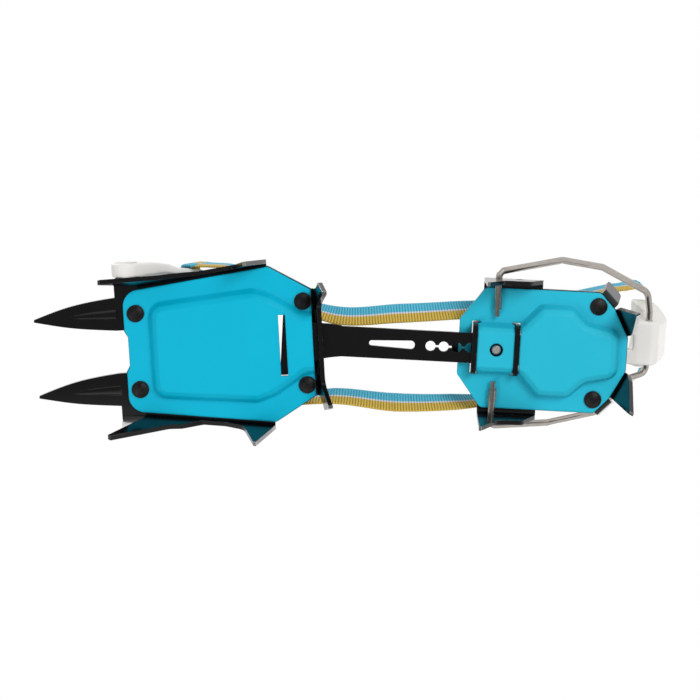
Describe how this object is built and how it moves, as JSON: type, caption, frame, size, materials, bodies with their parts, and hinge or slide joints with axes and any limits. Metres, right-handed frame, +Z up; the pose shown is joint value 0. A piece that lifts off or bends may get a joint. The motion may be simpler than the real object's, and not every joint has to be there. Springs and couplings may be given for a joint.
{
  "type": "crampon",
  "caption": "Strap-on step-in crampon for a left mountaineering boot: front and heel point sections on an adjustable link bar, toe bail and heel lever.",
  "frame": {"origin": "bottom centre of the bounding box, on the ground that the points stand on", "axes": "+X towards the toe along the link bar, +Y to the outer side of the left foot, +Z up"},
  "size_m": [0.3704, 0.1128, 0.1407],
  "materials": {
    "black_steel": "satin black paint on sheet steel",
    "blue_plastic": "satin moulded plastic",
    "grey_plug": "satin",
    "bright_steel": "bare steel",
    "white_plastic": "satin",
    "webbing": "woven"
  },
  "bodies": {
    "front_section": {"front_frame": "black_steel", "front_plate": "blue_plastic", "front_studs": "grey_plug", "toe_rivets": "bright_steel"},
    "toe_bail": {"toe_bail": "white_plastic", "strap_toe": "webbing", "strap_ring_loop": "webbing", "buckle_rings": "bright_steel"},
    "link_bar": {"link_bar": "black_steel", "strap_left": "webbing", "strap_right": "webbing"},
    "heel_section": {"heel_frame": "black_steel", "heel_plate": "blue_plastic", "heel_studs": "grey_plug", "lock_spring": "bright_steel", "lock_rivets": "bright_steel"},
    "length_lock": {"lock_pin": "bright_steel", "lock_finger_plate": "bright_steel"},
    "heel_bail": {"heel_bail": "bright_steel"},
    "heel_lever": {"heel_lever": "white_plastic", "strap_heel": "webbing"}
  },
  "joints": [
    {"name": "toe_bail_hinge", "type": "hinge", "parent": "front_section", "child": "toe_bail", "pos_m": [0.13093, -0.00875, 0.0455], "axis": [0.1045, 0.9945, 0], "range_deg": [-20, 70]},
    {"name": "foot_angle", "type": "hinge", "parent": "front_section", "child": "link_bar", "pos_m": [0.04342, 0.00045, 0.0314], "axis": [0, 0, 1], "range_deg": [-12, 0], "deforming": ["strap_left"]},
    {"name": "length_slide", "type": "slide", "parent": "link_bar", "child": "heel_section", "axis": [1, 0, 0], "range_m": [-0.015, 0.03], "deforming": ["strap_right"]},
    {"name": "lock_lift", "type": "slide", "parent": "heel_section", "child": "length_lock", "axis": [0, 0, 1], "range_m": [0, 0.0045], "stiffness_N_per_m": 400, "deforming": ["lock_spring"]},
    {"name": "heel_bail_hinge", "type": "hinge", "parent": "heel_section", "child": "heel_bail", "pos_m": [-0.07748, 0.00415, 0.0314], "axis": [0, 1, 0], "range_deg": [-25, 100]},
    {"name": "heel_lever_hinge", "type": "hinge", "parent": "heel_bail", "child": "heel_lever", "pos_m": [-0.17079, 0.00415, 0.08813], "axis": [0, 1, 0], "range_deg": [-60, 70]}
  ]
}
